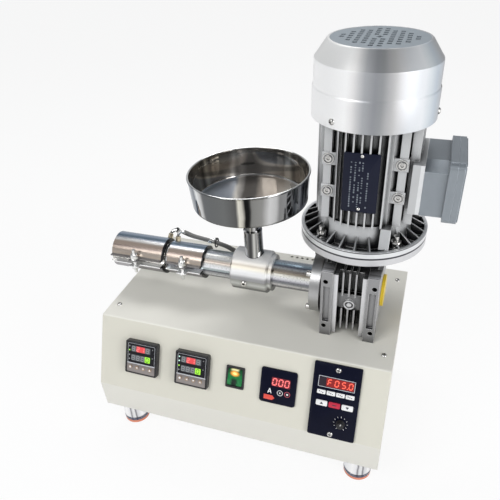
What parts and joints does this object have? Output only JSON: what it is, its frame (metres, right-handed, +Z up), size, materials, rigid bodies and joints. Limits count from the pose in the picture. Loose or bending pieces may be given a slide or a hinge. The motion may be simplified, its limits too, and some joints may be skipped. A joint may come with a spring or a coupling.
{
  "type": "desktop filament extruder",
  "caption": "Desktop plastic filament extruder: worm-geared motor, heated barrel with band heaters, round feed bowl and sloped control cabinet on feet.",
  "frame": {"origin": "centre of the whole outline on the floor, under the foot pads", "axes": "+X to the right along the barrel towards the motor, +Y from the control panel to the back, +Z up"},
  "size_m": [0.4634, 0.2636, 0.547],
  "materials": {
    "cabinet_paint": "satin powder coat, warm light grey",
    "screw_steel": "zinc plated",
    "foot_chrome": "polished",
    "foot_rubber": "matt, red orange",
    "black_plastic": "fine grain",
    "bronze_keys": "satin",
    "navy_plastic": "gloss front film",
    "green_rocker": "translucent green, lit",
    "white_keys": "satin",
    "cast_aluminium": "blasted casting",
    "yellow_cap": "satin",
    "motor_aluminium": "blasted casting",
    "navy_plate": "printed aluminium plate",
    "cowl_paint": "silver, satin",
    "box_aluminium": "blasted casting, bluish",
    "machined_steel": "turned",
    "die_steel": "heat darkened",
    "band_steel": "bright sheet",
    "terminal_brass": "turned",
    "lead_sleeve": "braided sleeve",
    "black_rubber": "matt",
    "polished_steel": "polished stainless steel"
  },
  "bodies": {
    "machine": {"cabinet_cover": "cabinet_paint", "left_side": "cabinet_paint", "right_side": "cabinet_paint", "back_panel": "cabinet_paint", "base_plate": "cabinet_paint", "cover_screws": "screw_steel", "foot_cups": "foot_chrome", "foot_pads": "foot_rubber", "mains_inlet": "black_plastic", "temp_controller_1": "black_plastic", "temp_controller_2": "black_plastic", "controller_keys": "bronze_keys", "ammeter": "navy_plastic", "rocker_frame": "black_plastic", "speed_controller": "navy_plastic", "speed_keys": "white_keys", "gearbox_housing": "cast_aluminium", "gearbox_input_flange": "cast_aluminium", "gearbox_side_cover": "cast_aluminium", "shaft_cap": "yellow_cap", "motor_end_bell": "motor_aluminium", "motor_body": "motor_aluminium", "motor_pad_screws": "screw_steel", "name_plate": "navy_plate", "flange_bolts": "screw_steel", "fan_cowl": "cowl_paint", "cooling_fan": "black_plastic", "terminal_box": "box_aluminium", "terminal_lid": "box_aluminium", "cable_gland": "black_plastic", "mounting_disc": "machined_steel", "disc_bolts": "screw_steel", "barrel": "machined_steel", "feed_screw": "machined_steel", "die_head": "die_steel", "heater_band_1": "band_steel", "heater_band_2": "band_steel", "clamp_bolts": "screw_steel", "heater_terminals": "terminal_brass", "heater_leads": "lead_sleeve", "lead_grommet": "black_rubber", "feed_block": "machined_steel", "feed_set_screw": "screw_steel", "neck_sleeve": "polished_steel", "hopper_bowl": "polished_steel"},
    "rocker": {"power_rocker": "green_rocker"},
    "knob": {"speed_knob": "black_plastic"}
  },
  "joints": [
    {"name": "rocker_pivot", "type": "hinge", "parent": "machine", "child": "rocker", "pos_m": [-0.01175, -0.107, 0.1422], "axis": [1, 0, 0], "range_deg": [0, 16]},
    {"name": "knob_turn", "type": "hinge", "parent": "machine", "child": "knob", "pos_m": [0.13355, -0.12196, 0.11521], "axis": [0, -0.9301, 0.3673], "range_deg": [-210, 60]}
  ]
}
